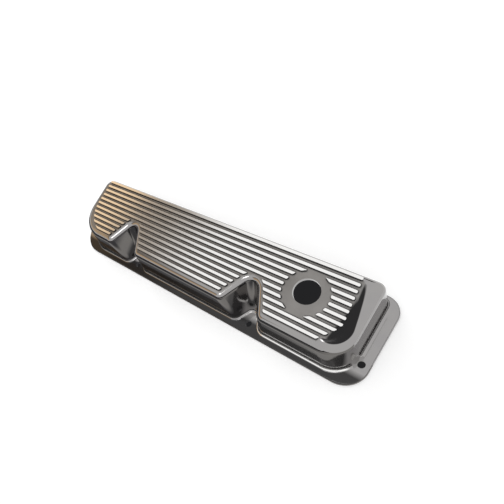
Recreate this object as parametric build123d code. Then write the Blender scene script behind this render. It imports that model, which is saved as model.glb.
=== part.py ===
"""Cast aluminium valve cover: one ribbed, hollow casting on a bolted flange.

Frame: +X along the cover towards the breather hole, +Y away from the side with
the two bolt scallops, +Z up.  The origin is the centre of the underside.
All sizes are in millimetres.
"""
from build123d import *

import math
import os

# ---------------------------------------------------------------- flange
flange_length = 510.0
flange_width = 121.0
flange_thickness = 6.0
flange_near_left_radius = 40.0     # plan radii of the corners
flange_near_right_radius = 30.0
flange_far_radius = 22.5
flange_edge_round = 2.2

# ------------------------------------------------------------------ body
deck_height = 63.5            # underside of the flange to the floor of the grooves
wall = 5.0                    # thickness of the walls and the deck
end_land = 16.0               # flange showing beyond the root of each end wall
near_land = 10.5              # flange showing in front of the near wall
far_land = 5.2                # flange showing behind the far wall
left_draft = 20.0             # how far each wall leans in from its root to the deck
right_draft = 1.5
near_draft = 7.5
far_draft = 0.5
near_left_radius = 45.0       # plan radii of the body
near_right_radius = 31.0
far_left_radius = 14.0
far_right_radius = 10.0
shoulder_round = 8.5          # rolled edge all round the deck
root_fillet = 4.8             # cove between the walls and the flange

# ------------------------------------------------ bolt scallops, near side
scallop_x = (-115.0, 102.3)
scallop_nose_radius = 10.8    # rounded inner end of the U
scallop_depth = 59.9          # near edge of the flange to the nose of the U at deck height
scallop_flare = 30.0          # half angle between the two sides, degrees
scallop_lean = 25.0           # slope of the back wall from the vertical, degrees
scallop_mouth_round = 12.0    # corner between a scallop and the near wall
scallop_bolt_inset = 14.1     # near edge of the flange to the bolt

# ------------------------------------------------------------- end bolts
bolt_hole_diameter = 9.2
end_bolt_inset = 10.4         # flange end to bolt centre
end_bolt_setback = 34.1       # near edge of the flange to bolt centre
relief_radius = 9.5           # washer room where an end bolt crowds the wall
relief_lean = 6.0             # the relief fades out up the wall, degrees

# ------------------------------------- sloping right end and raised panel
slope_far_x = 216.5           # the slope leaves the deck on a line through
slope_near_x = 201.5          # these two points, on the far and near edges
slope_angle = 8.5             # degrees
panel_far_x = 227.9           # the ribbed deck ends over the slope in a broad
panel_near_x = 239.9          # roll: far and near right corner of its outline
panel_near_gap = 1.0          # near edge of the deck to that outline
panel_far_radius = 18.0       # plan radii of those corners
panel_near_radius = 34.0
panel_round = 14.0

# ------------------------------------------------------------------ ribs
rib_pitch = 7.94
rib_width = 3.5
rib_height = 2.0
rib_sink = 3.0                # how deep a rib reaches below the deck's surface
rib_end_chamfer = 0.9
rib_near_land = 8.0           # least bare deck in front of the ribs
rib_far_land = 1.83           # and behind them
rib_left_x = -208.5
rib_left_radius = 45.0        # near left corner of the ribbed field
rib_far_right_x = 213.0       # right edge of the ribbed field
rib_near_right_x = 219.5
rib_cut_x = 19.5              # its near right corner is cut off by these
rib_cut_y = 26.0
rib_cut_round = 15.0
rib_lip_gap = 7.0             # bare deck between the wall of a scallop and the ribs

# --------------------------------------------------------- breather hole
breather_x = 166.8
breather_offset = 2.5         # centre of the pad to the hole, along Y
breather_diameter = 31.8
pad_diameter = 55.6           # plain round pad in the ribs

# ---------------------------------------------------------- derived sizes
half_length = flange_length / 2
half_width = flange_width / 2
body_height = deck_height - flange_thickness
root_left = -half_length + end_land
root_right = half_length - end_land
root_near = -half_width + near_land
root_far = half_width - far_land
top_near = root_near + near_draft
top_far = root_far - far_draft
end_bolt_x = half_length - end_bolt_inset
rib_top = deck_height + rib_height
rib_count = int((top_far - top_near - rib_near_land - rib_far_land) / rib_pitch)
rib_far_edge = top_far - rib_far_land
rib_near_edge = rib_far_edge - rib_count * rib_pitch
rib_rows_y = (rib_near_edge + rib_far_edge) / 2
breather_y = rib_rows_y + breather_offset
scallop_nose_y = scallop_depth - half_width
scallop_bolt_y = scallop_bolt_inset - half_width
end_bolt_y = end_bolt_setback - half_width
panel_near_y = top_near + panel_near_gap
cut_below = -1.0              # cutters start this far below the underside
room = 3 * flange_width       # size of the blocks that trim the end


def wall_places(z, inset):
    """Left, right, near and far place of the leaning walls at height z, moved in by inset."""
    rise = (z - flange_thickness) / body_height
    left = root_left + left_draft * rise + inset
    right = root_right - right_draft * rise - inset
    near = root_near + near_draft * rise + inset
    far = root_far - far_draft * rise - inset
    return left, right, near, far


def drafted_block(bottom, top, inset):
    """Body between two heights, its four leaning walls meeting in round corners."""
    left, right, near, far = wall_places(bottom, inset)
    upper_left, upper_right, upper_near, upper_far = wall_places(top, inset)
    wedge = Wedge(
        right - left,
        top - bottom,
        far - near,
        upper_left - left,
        far - upper_far,
        upper_right - left,
        far - upper_near,
        align=Align.MIN,
    )
    block = Pos(left, far, bottom) * Rot(90, 0, 0) * wedge
    corners = (
        (left, near, near_left_radius),
        (right, near, near_right_radius),
        (left, far, far_left_radius),
        (right, far, far_right_radius),
    )
    for x, y, radius in corners:
        upright = block.edges().filter_by(lambda edge: edge.bounding_box().size.Z > (top - bottom) / 2)
        block = fillet(upright.sort_by_distance((x, y, bottom))[0], radius - inset)
    return block


def scallop_outline(grow):
    """Flared U of a bolt scallop, its nose at the origin and open towards -Y."""
    radius = scallop_nose_radius + grow
    flare = math.radians(scallop_flare)
    side_x = radius * math.cos(flare)
    side_y = radius * math.sin(flare) - scallop_nose_radius
    mouth_y = -flange_width
    mouth_x = side_x + (side_y - mouth_y) * math.tan(flare)
    nose = ThreePointArc((-side_x, side_y), (0, grow), (side_x, side_y))
    sides = Polyline((side_x, side_y), (mouth_x, mouth_y), (-mouth_x, mouth_y), (-side_x, side_y))
    return make_face([nose, sides])


def scallop_cutter(x, grow):
    """Scallop as a cutter whose back wall leans outwards on its way down."""
    tilt = Pos(x, scallop_nose_y, deck_height) * Rot(-scallop_lean, 0, 0)
    return extrude(tilt * Pos(0, 0, 2 * rib_height) * scallop_outline(grow), -flange_width)


def relief_cutter(side, grow, bottom):
    """Round relief over one end bolt, leaning away from the end wall on its way up."""
    tilt = Pos(side * end_bolt_x, end_bolt_y, flange_thickness) * Rot(0, side * relief_lean, 0)
    tool = tilt * Cylinder(relief_radius + grow, 2 * deck_height)
    return split(tool, Plane.XY.offset(bottom), keep=Keep.TOP)


def above_slope(depth):
    """Everything higher than the sloping plane at the right end, lowered by depth."""
    turn = math.degrees(math.atan2(slope_far_x - slope_near_x, top_far - top_near))
    middle = Pos((slope_far_x + slope_near_x) / 2, (top_far + top_near) / 2, deck_height - depth)
    return middle * Rot(0, 0, -turn) * Rot(0, slope_angle, 0) * Pos(0, 0, room / 2) * Box(2 * room, 2 * room, room)


def panel_block():
    """End of the ribbed deck as a block whose outer edges are rolled over."""
    outline = make_face(
        Polyline(
            (0, half_width), (panel_far_x, half_width), (panel_near_x, panel_near_y), (0, panel_near_y), close=True
        )
    )
    far_corner = outline.vertices().sort_by_distance((panel_far_x, half_width, 0))[0]
    outline = fillet(far_corner, panel_far_radius)
    near_corner = outline.vertices().sort_by_distance((panel_near_x, panel_near_y, 0))[0]
    outline = fillet(near_corner, panel_near_radius)
    block = extrude(Pos(0, 0, deck_height) * outline, -2 * panel_round)
    rim = block.edges().group_by(Axis.Z)[-1].sort_by(Axis.X)[1:]
    return fillet(rim, panel_round)


def main_body():
    """Body with both scallops, the rolled edge round its deck and the lowered right end."""
    body = drafted_block(flange_thickness, deck_height, 0)
    for x in scallop_x:
        body -= scallop_cutter(x, 0)
    mouths = [
        edge
        for edge in body.edges()
        if edge.bounding_box().size.Z > body_height / 2
        and edge.center().Y < scallop_bolt_y + near_draft
        and min(abs(edge.center().X - x) for x in scallop_x) < 4 * scallop_nose_radius
    ]
    body = fillet(mouths, scallop_mouth_round)
    body = fillet(body.edges().group_by(Axis.Z)[-1], shoulder_round)
    return body - (above_slope(0) - panel_block())


def flange_plate():
    """Bolting flange with a softly rounded upper edge."""
    outline = Rectangle(flange_length, flange_width)
    outline = fillet(outline.vertices().group_by(Axis.Y)[0].sort_by(Axis.X)[0], flange_near_left_radius)
    outline = fillet(outline.vertices().group_by(Axis.Y)[0].sort_by(Axis.X)[-1], flange_near_right_radius)
    outline = fillet(outline.vertices().group_by(Axis.Y)[-1], flange_far_radius)
    plate = extrude(outline, flange_thickness)
    return fillet(plate.edges().group_by(Axis.Z)[-1], flange_edge_round)


def shell_outside():
    """Body on its flange with the cove between them, and the end bolt reliefs."""
    shell = main_body() + flange_plate()
    seam = []
    for edge in shell.edges():
        box = edge.bounding_box()
        on_flange = abs(box.min.Z - flange_thickness) < 0.01 and abs(box.max.Z - flange_thickness) < 0.01
        inner_x = max(abs(box.min.X), abs(box.max.X)) < root_right + 1
        inner_y = box.max.Y < root_far + 1 and box.min.Y > root_near - 1
        if on_flange and inner_x and inner_y:
            seam.append(edge)
    shell = fillet(seam, root_fillet)
    for side in (-1, 1):
        shell -= relief_cutter(side, 0, flange_thickness)
    return shell


def cavity():
    """Hollow of the casting, one wall thickness inside every outer surface."""
    hollow = drafted_block(cut_below, deck_height - wall, wall) - above_slope(wall)
    for x in scallop_x:
        hollow -= scallop_cutter(x, wall)
    for side in (-1, 1):
        hollow -= relief_cutter(side, wall, 2 * cut_below)
    return hollow


def ribs():
    """List of ribs, ending clear of the edges of the deck, the scallops and the pad."""
    cut_y = rib_near_edge + rib_cut_y
    field = make_face(
        Polyline(
            (rib_left_x, rib_far_edge),
            (rib_far_right_x, rib_far_edge),
            (rib_near_right_x, cut_y),
            (rib_near_right_x - rib_cut_x, rib_near_edge),
            (rib_left_x, rib_near_edge),
            close=True,
        )
    )
    field = fillet(field.vertices().sort_by_distance((rib_near_right_x, cut_y, 0))[0], rib_cut_round)
    field = fillet(field.vertices().sort_by_distance((rib_left_x, rib_near_edge, 0))[0], rib_left_radius)
    field -= Pos(breather_x, rib_rows_y) * Circle(pad_diameter / 2)
    for x in scallop_x:
        field -= Pos(x, scallop_nose_y) * scallop_outline(rib_lip_gap)
    rows = Sketch()
    for row in range(rib_count):
        y = rib_rows_y + (row - (rib_count - 1) / 2) * rib_pitch
        rows += Pos(0, y) * Rectangle(flange_length, rib_width)
    rows = rows & field
    solids = []
    for face in rows.faces():
        rib = extrude(Pos(0, 0, deck_height - rib_sink) * face, rib_sink + rib_height)
        solids.append(chamfer(rib.edges().filter_by(Axis.Z), rib_end_chamfer))
    return solids


def holes():
    """Breather hole through the deck and the bolt holes through the flange."""
    breather = Pos(breather_x, breather_y, deck_height) * Cylinder(breather_diameter / 2, 4 * wall)
    bolt = Cylinder(bolt_hole_diameter / 2, 4 * flange_thickness)
    places = [Pos(x, scallop_bolt_y, 0) for x in scallop_x]
    places += [Pos(side * end_bolt_x, end_bolt_y, 0) for side in (-1, 1)]
    return Part() + [breather] + [place * bolt for place in places]


def valve_cover():
    """The whole casting."""
    return shell_outside() + ribs() - cavity() - holes()


os.makedirs("parts", exist_ok=True)
export_step(valve_cover(), "parts/valve_cover.step")
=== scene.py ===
"""Valve cover: one ribbed aluminium casting, satin in its grooves and polished elsewhere, with
painted shade and a painted highlight.
"""

import math

import bmesh
import bpy
from mathutils import Matrix, Vector


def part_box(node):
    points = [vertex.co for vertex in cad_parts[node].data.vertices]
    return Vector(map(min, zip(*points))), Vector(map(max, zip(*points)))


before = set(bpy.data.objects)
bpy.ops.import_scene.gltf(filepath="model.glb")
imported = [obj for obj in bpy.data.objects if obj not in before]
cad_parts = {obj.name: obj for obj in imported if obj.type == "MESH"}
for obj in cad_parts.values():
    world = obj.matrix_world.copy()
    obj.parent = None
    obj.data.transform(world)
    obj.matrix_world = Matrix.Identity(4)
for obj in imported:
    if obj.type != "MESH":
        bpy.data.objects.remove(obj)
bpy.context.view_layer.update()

# ---------------------------------------------------------------- casting
# The cover is one aluminium casting, which the frame already carries in full.
# Its walls and flange were polished on a wheel and its ribs cut bright on top.
# Grooves and pad were blasted, and the inside stayed as it left the sand.
# Shade and dark reflections are painted into parts of the metal, and so is a highlight along the
# near cove.


def linear(hex_colour):
    """Linear colour of an sRGB hex value, for the shader sockets."""
    channels = [int(hex_colour[i:i + 2], 16) / 255 for i in (1, 3, 5)]
    return [c / 12.92 if c <= 0.04045 else ((c + 0.055) / 1.055) ** 2.4 for c in channels] + [1.0]


def add(tree, kind, inputs=None, **settings):
    """Adds one node with its settings; an input is a value or another node's output."""
    node = tree.nodes.new(kind)
    for name, value in settings.items():
        setattr(node, name, value)
    for name, value in (inputs or {}).items():
        socket = node.inputs[name]
        if isinstance(value, bpy.types.NodeSocket):
            tree.links.new(value, socket)
        else:
            socket.default_value = value
    return node


def new_material(name):
    """Empty node material and its tree."""
    material = bpy.data.materials.new(name)
    material.use_nodes = True
    material.node_tree.nodes.clear()
    return material, material.node_tree


def area(tree, *limits):
    """Share of a surface that lies inside every limit, for a finish that covers part of it.

    A limit is a share, or a value followed by where it is fully outside and fully inside.
    """
    shares = []
    for limit in limits:
        if isinstance(limit, tuple):
            value, outside, inside = limit
            edge = add(
                tree, "ShaderNodeMapRange",
                {"Value": value, "From Min": outside, "From Max": inside},
            )
            limit = edge.outputs["Result"]
        shares.append(limit)
    whole = shares[0]
    for share in shares[1:]:
        whole = add(tree, "ShaderNodeMath", {0: whole, 1: share}, operation="MULTIPLY").outputs[0]
    return whole


def metal_finish(tree, place, tones, roughness, pattern_size, pattern_depth):
    """Metal that drifts between two tones over a pattern of small bumps."""
    stain = add(
        tree, "ShaderNodeTexNoise",
        {"Vector": place, "Scale": 1 / stain_size, "Detail": 4.0},
    )
    tone = add(
        tree, "ShaderNodeMixRGB",
        {"Fac": stain.outputs["Fac"], "Color1": linear(tones[0]), "Color2": linear(tones[1])},
    )
    pattern = add(
        tree, "ShaderNodeTexNoise",
        {"Vector": place, "Scale": 1 / pattern_size, "Detail": 2.0},
    )
    bumps = add(
        tree, "ShaderNodeBump",
        {"Height": pattern.outputs["Fac"], "Distance": pattern_depth},
    )
    shader = add(
        tree, "ShaderNodeBsdfPrincipled",
        {
            "Base Color": tone.outputs["Color"],
            "Metallic": 1.0,
            "Roughness": roughness,
            "Normal": bumps.outputs["Normal"],
        },
    )
    return shader.outputs["BSDF"]


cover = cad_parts["valve_cover"]
cover_low, cover_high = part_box("valve_cover")
rib_height = 0.0020
groove_floor = cover_high.z - rib_height
slope_normal = (0.14608, -0.02253, 0.98902)  # sloping plane at the breather end
slope_reach = 0.093195       # its distance from the origin
ribs_near_edge = -0.0335     # the bare deck in front of the ribs is polished too
strip_start = -0.036         # the narrow near side of the flange begins here
hollow_end = 0.2348          # the washer reliefs past it also lean over, but are outside

# Where each finish stops and where it is full, in metres or as a share of
# facing straight up.
rib_top = (cover_high.z - 0.0005, cover_high.z - 0.0002)
deck_bottom = (groove_floor - 0.0003, groove_floor - 0.0001)
deck_top = (groove_floor + 0.0006, groove_floor + 0.0002)
deck_level = (0.985, 0.999)
deck_near = (ribs_near_edge - 0.001, ribs_near_edge)
rib_side_bottom = (groove_floor, groove_floor + 0.0003)
rib_side_steep = (0.8, 0.6)
crescent_bottom = (slope_reach + 0.0001, slope_reach + 0.0004)
crescent_steep = (0.9985, 0.992)
past_ribs_bottom = (slope_reach + 0.0007, slope_reach + 0.0011)
strip_back = (strip_start, strip_start - 0.008)
strip_top = (0.0068, 0.0061)
strip_bottom = (0.0052, 0.0057)
cove_back = (strip_start, strip_start - 0.004)
cove_left = (0.085, 0.130)
cove_top = (0.0105, 0.0085)
cove_bottom = (0.0061, 0.0064)
cove_level = (0.35, 0.60)
hollow_lean = (-0.003, -0.007)
hollow_ends = (hollow_end, hollow_end - 0.0005)
hollow_bottom = (0.0003, 0.0008)

strip_shade_share = 0.92            # how much of the near strip is painted dark as shade
nook_width = 0.0026          # width of the painted shade line at the foot of a rib
nook_open = (0.93, 0.70)     # share of sky seen where that line stops and is full
nook_samples = 8
stain_size = 0.030           # dull patches left by handling and oil
wave_length = 0.045          # slow waves that wheel polishing leaves in a wall
wave_depth = 0.00010
mill_length = 0.020          # the same in the cut tops of the ribs, but fainter
mill_depth = 0.00001
grit = 0.0011                # blast texture, drawn coarser than the real 0.2 mm
grit_depth = 0.00005
sand_grain = 0.0016          # texture of the sand mould, drawn coarser than the real 0.4 mm
sand_depth = 0.00012

# Polished cast aluminium of this grade is a greyish mirror with faint waves.
# Cut aluminium is bright, blasted aluminium is dull with a fine grain, and
# aluminium straight from the mould is dull and dark. A near-black finish is
# painted shade and painted dark reflection, and the bright finish also paints
# a highlight along the near cove.
metal, tree = new_material("aluminium_with_painted_light")
place = add(tree, "ShaderNodeTexCoord").outputs["Object"]
axes = add(tree, "ShaderNodeSeparateXYZ", {"Vector": place}).outputs
height = axes["Z"]
face = add(tree, "ShaderNodeNewGeometry").outputs
facing = add(tree, "ShaderNodeSeparateXYZ", {"Vector": face["Normal"]}).outputs["Z"]
leaning = add(tree, "ShaderNodeSeparateXYZ", {"Vector": face["True Normal"]}).outputs["Z"]
over_slope = add(
    tree, "ShaderNodeVectorMath", {0: place, 1: slope_normal}, operation="DOT_PRODUCT",
).outputs["Value"]
from_middle = add(tree, "ShaderNodeMath", {0: axes["X"]}, operation="ABSOLUTE").outputs[0]
nook = add(
    tree, "ShaderNodeAmbientOcclusion", {"Distance": nook_width}, samples=nook_samples,
).outputs["AO"]

grooves_and_pad = area(
    tree, (height, *deck_bottom), (height, *deck_top),
    (facing, *deck_level), (axes["Y"], *deck_near),
)
rib_tops = area(tree, (height, *rib_top))
# Painted shade: the steep sides of the ribs are laid near-black.
rib_side_shade = area(tree, (height, *rib_side_bottom), (facing, *rib_side_steep))
# Painted shade: the grooves go near-black where little sky reaches them, at the feet of the ribs.
rib_foot_shade = area(tree, grooves_and_pad, (nook, *nook_open))
# Painted dark reflection: the rolled crescent at the breather end, and what stands above the
# sloping plane, are laid near-black.
crescent_dark_reflection = area(tree, (over_slope, *crescent_bottom), (facing, *crescent_steep))
past_ribs_dark_reflection = area(tree, (over_slope, *past_ribs_bottom))
# Painted shade: the narrow near side of the flange is laid mostly near-black.
near_strip_shade = area(
    tree, (axes["Y"], *strip_back), (height, *strip_top), (height, *strip_bottom), strip_shade_share,
)
# Painted highlight: the lower part of the near cove takes the bright cut finish, as a light
# streak.
cove = area(
    tree, (axes["Y"], *cove_back), (axes["X"], *cove_left),
    (height, *cove_top), (height, *cove_bottom), (facing, *cove_level),
)
hollow = area(tree, (leaning, *hollow_lean), (from_middle, *hollow_ends), (height, *hollow_bottom))

polished = metal_finish(tree, place, ("#A5A3A0", "#979597"), 0.09, wave_length, wave_depth)
satin = metal_finish(tree, place, ("#9A9896", "#757371"), 0.42, grit, grit_depth)
# Bright finish: cut metal on the rib tops, and a painted highlight in the near cove.
cut_and_painted_highlight = metal_finish(tree, place, ("#F6F5F3", "#ECEBEA"), 0.14, mill_length, mill_depth)
# Near-black finish: painted shade and painted dark reflection, not a surface of the metal.
painted_dark = metal_finish(tree, place, ("#302F2F", "#272728"), 0.24, grit, grit_depth)
raw = metal_finish(tree, place, ("#908E8B", "#7D7B79"), 0.58, sand_grain, sand_depth)
finished = polished
for finish, places in (
    (satin, (grooves_and_pad,)),
    (painted_dark, (rib_side_shade, crescent_dark_reflection, past_ribs_dark_reflection, near_strip_shade, rib_foot_shade)),
    (cut_and_painted_highlight, (rib_tops, cove)),
    (raw, (hollow,)),
):
    share = places[0]
    for other in places[1:]:
        share = add(tree, "ShaderNodeMath", {0: share, 1: other}, operation="MAXIMUM").outputs[0]
    finished = add(
        tree, "ShaderNodeMixShader", {"Fac": share, 1: finished, 2: finish},
    ).outputs["Shader"]
add(tree, "ShaderNodeOutputMaterial", {"Surface": finished})
cover.material_slots[0].material = metal

# ------------------------------------------------------------------ floor
# The cover lies on one plain white sheet of paper, far wider than the view.
# The sheet is clear from behind and under the cover, so that the hollow can be
# looked into from below.
floor_size = 16.0
floor_shine = 0.30
opening_length = 0.470
opening_width = 0.090


def flat_sheet(width, depth):
    """Flat sheet on the floor, round the origin and facing up."""
    sheet = bmesh.new()
    bmesh.ops.create_grid(sheet, x_segments=1, y_segments=1, size=0.5)
    bmesh.ops.scale(sheet, vec=(width, depth, 1), verts=sheet.verts)
    return sheet


def stage_object(name, mesh, material):
    """Makes a mesh part of the stage, which is not part of the cover."""
    data = bpy.data.meshes.new(name)
    mesh.to_mesh(data)
    mesh.free()
    data.materials.append(material)
    thing = bpy.data.objects.new(name, data)
    bpy.context.scene.collection.objects.link(thing)
    return thing


def seen_rays(tree):
    """Share of the rays that see the stage: from the camera, by reflection or through glass."""
    path = add(tree, "ShaderNodeLightPath").outputs
    seen = path["Is Camera Ray"]
    for ray in ("Is Glossy Ray", "Is Transmission Ray"):
        seen = add(tree, "ShaderNodeMath", {0: seen, 1: path[ray]}, use_clamp=True).outputs[0]
    return seen


def one_sided(tree, shader, opening):
    """Shader that is clear from behind, and where the opening is 1."""
    behind = add(tree, "ShaderNodeNewGeometry").outputs["Backfacing"]
    clear = add(tree, "ShaderNodeBsdfTransparent").outputs["BSDF"]
    share = add(tree, "ShaderNodeMath", {0: behind, 1: opening}, operation="MAXIMUM").outputs[0]
    return add(tree, "ShaderNodeMixShader", {"Fac": share, 1: shader, 2: clear}).outputs["Shader"]


# Matt white paper.  It glows a little where it is seen, so that it is as white
# as the backdrop and still keeps the shadow.
paper, tree = new_material("white_paper")
matt = add(tree, "ShaderNodeBsdfDiffuse", {"Color": linear("#E6E6E6")}).outputs["BSDF"]
shine = add(tree, "ShaderNodeMath", {0: seen_rays(tree), 1: floor_shine}, operation="MULTIPLY")
glow = add(
    tree, "ShaderNodeEmission", {"Color": linear("#FFFFFF"), "Strength": shine.outputs[0]},
).outputs["Emission"]
lit = add(tree, "ShaderNodeAddShader", {0: matt, 1: glow}).outputs["Shader"]
place = add(tree, "ShaderNodeTexCoord").outputs["Object"]
axes = add(tree, "ShaderNodeSeparateXYZ", {"Vector": place}).outputs
within = []
for axis, size in (("X", opening_length), ("Y", opening_width)):
    distance = add(tree, "ShaderNodeMath", {0: axes[axis]}, operation="ABSOLUTE").outputs[0]
    within.append(
        add(tree, "ShaderNodeMath", {0: distance, 1: size / 2}, operation="LESS_THAN").outputs[0]
    )
opening = area(tree, *within)
add(tree, "ShaderNodeOutputMaterial", {"Surface": one_sided(tree, lit, opening)})
stage_object("floor", flat_sheet(floor_size, floor_size), paper)

# ------------------------------------------------------------- painted shade
# A thin near-black sheet lies under the cover, cut a little inside its flange,
# as painted shade. It is seen only through the breather hole and the bolt holes,
# and darkens them as the shade under the cover would.
shade_sheet_margin = 0.004
shade_sheet_corner = 0.036
shade_sheet_height = 0.0003

# Painted shade: an even near-black glow, seen only from above.
cloth, tree = new_material("painted_shade_sheet")
shown = add(tree, "ShaderNodeEmission", {"Color": linear("#242425"), "Strength": 1.0})
one_way = one_sided(tree, shown.outputs["Emission"], 0.0)
add(tree, "ShaderNodeOutputMaterial", {"Surface": one_way})
shade_sheet_length = cover_high.x - cover_low.x - 2 * shade_sheet_margin
shade_sheet_width = cover_high.y - cover_low.y - 2 * shade_sheet_margin
sheet = flat_sheet(shade_sheet_length, shade_sheet_width)
bmesh.ops.bevel(
    sheet, geom=sheet.verts[:], offset=shade_sheet_corner, segments=6, profile=0.5,
    affect="VERTICES", material=-1,
)
bmesh.ops.translate(sheet, vec=(0, 0, shade_sheet_height), verts=sheet.verts)
under_cover = stage_object("under_cover", sheet, cloth)
under_cover.visible_diffuse = False
under_cover.visible_glossy = False
under_cover.visible_shadow = False
under_cover.visible_transmission = False

# ------------------------------------------------------------- dark screens
# Polished metal shows what stands round it, so a studio sets screens beyond the
# view to draw its edges.  These are a low wall of black velvet all round, and a
# dark table top on the near side.  Only reflections see them.
ring_radius = 2.6
ring_height = 0.70
table_gap = 0.02             # the table begins this far in front of the middle
table_height = 0.0004
table_pale_right = (0.10, 0.26)
patch_back = (-0.068, -0.080)
patch_front = (-0.135, -0.105)


def reflected_only(thing):
    """Hides a screen from everything but reflections."""
    thing.visible_camera = False
    thing.visible_diffuse = False
    thing.visible_shadow = False
    thing.visible_transmission = False
    thing.visible_volume_scatter = False


def curved_screen(name, radius, low, high, start, end, material):
    """Upright piece of a round wall, from one angle to another, in degrees."""
    wall = bmesh.new()
    foot = (radius * math.cos(math.radians(start)), radius * math.sin(math.radians(start)))
    edge = wall.edges.new([wall.verts.new((*foot, z)) for z in (low, high)])
    bmesh.ops.spin(
        wall, geom=[edge, *edge.verts], cent=(0, 0, 0), axis=(0, 0, 1),
        angle=math.radians(end - start), steps=24, use_merge=end - start == 360,
    )
    reflected_only(stage_object(name, wall, material))


# Black velvet takes in nearly all light and shows as one even dark band.
velvet, tree = new_material("black_velvet")
dark = add(tree, "ShaderNodeEmission", {"Color": linear("#232325"), "Strength": 1.0})
add(tree, "ShaderNodeOutputMaterial", {"Surface": dark.outputs["Emission"]})
curved_screen("low_screen", ring_radius, 0, ring_height, 0, 360, velvet)

# Grey lacquered board, paler towards the breather end and in one narrow patch.
table, tree = new_material("dark_table")
place = add(tree, "ShaderNodeTexCoord").outputs["Object"]
axes = add(tree, "ShaderNodeSeparateXYZ", {"Vector": place}).outputs
patch = area(tree, (axes["Y"], *patch_back), (axes["Y"], *patch_front))
right = area(tree, (axes["X"], *table_pale_right))
pale = add(tree, "ShaderNodeMath", {0: patch, 1: right}, operation="MAXIMUM")
tone = add(
    tree, "ShaderNodeMixRGB",
    {"Fac": pale.outputs[0], "Color1": linear("#5C5C5E"), "Color2": linear("#B4B2AF")},
)
shown = add(tree, "ShaderNodeEmission", {"Color": tone.outputs["Color"], "Strength": 1.0})
add(tree, "ShaderNodeOutputMaterial", {"Surface": shown.outputs["Emission"]})
sheet = flat_sheet(2 * ring_radius, ring_radius)
table_middle = (0, -ring_radius / 2 - table_gap, table_height)
bmesh.ops.translate(sheet, vec=table_middle, verts=sheet.verts)
reflected_only(stage_object("table_top", sheet, table))

# --------------------------------------------------------------- high lamp
# A soft box hangs high on the near side, towards the breather end, and tips
# to face the cover.  Only reflections see it, as the light edge along the cove.
lamp_width = 0.55
lamp_depth = 0.45
lamp_place = (0.18, -0.62, 1.80)
lamp_tip = 19.0
lamp_strength = 5.0

# White diffuser cloth with the lamp behind it: one even bright patch.
diffuser, tree = new_material("lamp_cloth")
shown = add(
    tree, "ShaderNodeEmission", {"Color": linear("#FFFFFF"), "Strength": lamp_strength},
)
add(tree, "ShaderNodeOutputMaterial", {"Surface": shown.outputs["Emission"]})
sheet = flat_sheet(lamp_width, lamp_depth)
tip = Matrix.Rotation(math.radians(lamp_tip), 3, "X")
bmesh.ops.rotate(sheet, cent=(0, 0, 0), matrix=tip, verts=sheet.verts)
bmesh.ops.translate(sheet, vec=lamp_place, verts=sheet.verts)
reflected_only(stage_object("high_lamp", sheet, diffuser))

# --------------------------------------------------------------- warm card
# A curved card stands past the closed end.  It is warm low down, grey higher up
# and fades to white at its top, which tints the ribs along the deck.
card_radius = 2.0
card_low = 1.00
card_high = 2.98
card_start = 130.0
card_end = 245.0
warm_to_grey = (1.79, 1.94)
grey_to_white = (2.30, card_high)

# Painted card, matt and evenly lit, so that it shows as its own colour.
card, tree = new_material("warm_card")
place = add(tree, "ShaderNodeTexCoord").outputs["Object"]
height = add(tree, "ShaderNodeSeparateXYZ", {"Vector": place}).outputs["Z"]
lower = add(
    tree, "ShaderNodeMixRGB",
    {
        "Fac": area(tree, (height, *warm_to_grey)),
        "Color1": linear("#FEDEB6"),
        "Color2": linear("#9D948A"),
    },
)
upper = add(
    tree, "ShaderNodeMixRGB",
    {
        "Fac": area(tree, (height, *grey_to_white)),
        "Color1": lower.outputs["Color"],
        "Color2": linear("#FFFFFF"),
    },
)
warm = add(tree, "ShaderNodeEmission", {"Color": upper.outputs["Color"], "Strength": 1.0})
add(tree, "ShaderNodeOutputMaterial", {"Surface": warm.outputs["Emission"]})
curved_screen("warm_card", card_radius, card_low, card_high, card_start, card_end, card)

# ----------------------------------------------------------------- lights
# Soft daylight comes from all round, with two large soft boxes: one overhead and
# one behind the far left.  The metal shows neither box, only the stage.
sky_level = 0.80
soft_box_size = 0.9

world = bpy.data.worlds.new("studio")
world.use_nodes = True
bpy.context.scene.world = world
tree = world.node_tree
tree.nodes.clear()
white = add(tree, "ShaderNodeBackground", {"Color": linear("#FFFFFF"), "Strength": 1.0})
soft = add(tree, "ShaderNodeBackground", {"Color": linear("#FFFFFF"), "Strength": sky_level})
chosen = add(
    tree, "ShaderNodeMixShader",
    {"Fac": seen_rays(tree), 1: soft.outputs["Background"], 2: white.outputs["Background"]},
)
add(tree, "ShaderNodeOutputWorld", {"Surface": chosen.outputs["Shader"]})

for name, spot, power in (
    ("overhead", Vector((-0.2, 0.2, 1.6)), 5.0),
    ("far_left", Vector((-1.3, 0.9, 1.5)), 4.0),
):
    lamp = bpy.data.lights.new(name, "AREA")
    lamp.size = soft_box_size
    lamp.energy = power
    soft_box = bpy.data.objects.new(name, lamp)
    aim = (-spot).to_track_quat("-Z", "Y").to_matrix().to_4x4()
    soft_box.matrix_world = Matrix.Translation(spot) @ aim
    soft_box.visible_glossy = False
    bpy.context.scene.collection.objects.link(soft_box)

# ----------------------------------------------------------------- camera
# A wide lens held close over the breather end, looking back down the cover.
# The view is a crop from one side of a wider one, which the shift keeps.
camera_place = (0.3102, -0.0937, 0.5102)
camera_right = (0.720578, 0.518676, -0.460156)
camera_up = (-0.400190, 0.853059, 0.334871)
camera_back = (0.566229, -0.057151, 0.822264)

lens = bpy.data.cameras.new("camera")
lens.sensor_width = 36.0
lens.lens = 28.571
lens.shift_x = 0.16574
lens.shift_y = 0.07461
lens.clip_start = 0.01
camera = bpy.data.objects.new("camera", lens)
turn = Matrix((camera_right, camera_up, camera_back)).transposed().to_4x4()
camera.matrix_world = Matrix.Translation(camera_place) @ turn
bpy.context.scene.collection.objects.link(camera)
bpy.context.scene.camera = camera
bpy.context.scene.view_settings.view_transform = "Standard"
